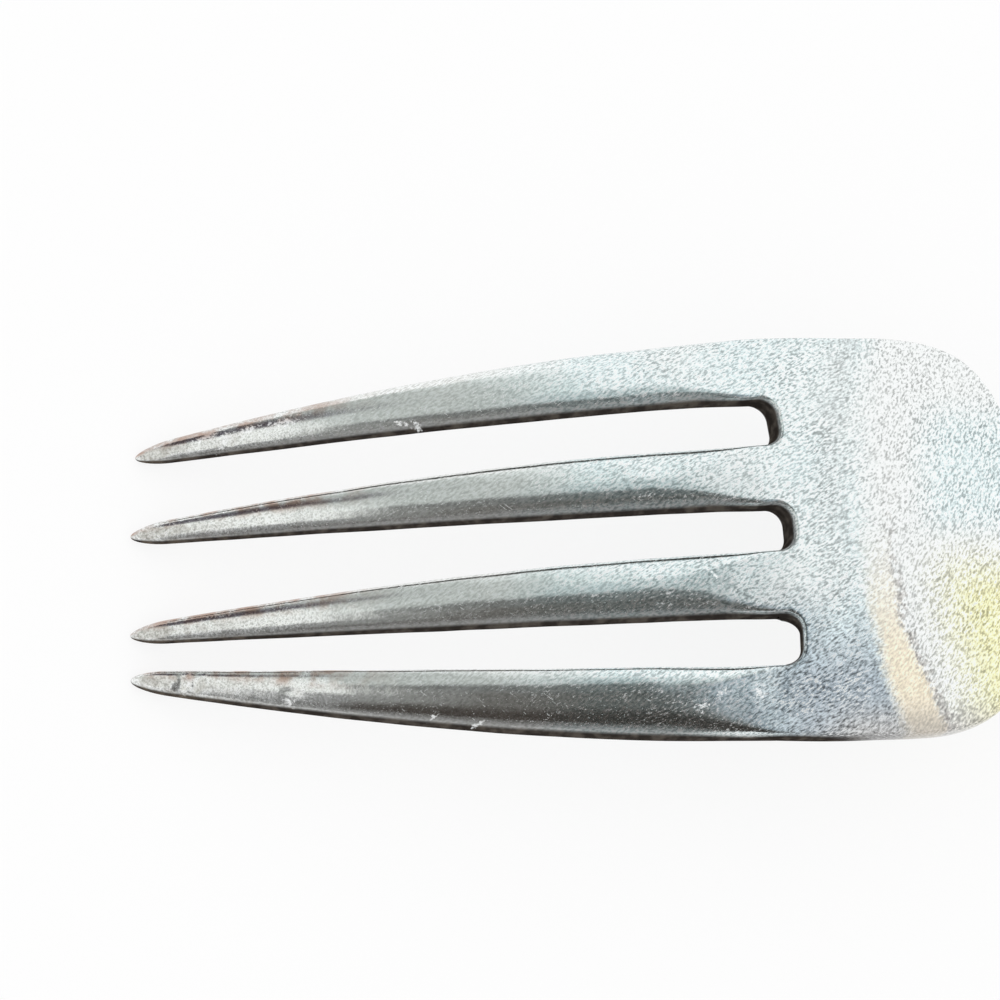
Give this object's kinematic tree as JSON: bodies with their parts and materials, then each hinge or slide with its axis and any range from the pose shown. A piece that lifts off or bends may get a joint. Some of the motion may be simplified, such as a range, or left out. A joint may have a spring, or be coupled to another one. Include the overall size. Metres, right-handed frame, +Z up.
{
  "type": "dessert fork",
  "caption": "Worn silver-plated dessert fork lying face down, with a dished, tined head, slim neck, turned ferrule and filled hollow handle.",
  "frame": {"origin": "on the table under the middle of the fork's length and width, with the fork lying face down", "axes": "+X along the fork from the tine tips to the end of the handle, +Y across the tines, +Z up, out of the back of the head"},
  "size_m": [0.172, 0.0226, 0.0105],
  "materials": {
    "silver_plate": "worn satin silver plate with a fine grain and scratches",
    "handle_resin": "dull dark set resin"
  },
  "bodies": {
    "root": {"fork_head": "silver_plate", "ferrule": "silver_plate", "upper_shell": "silver_plate", "lower_shell": "silver_plate", "filler": "handle_resin"}
  },
  "joints": []
}
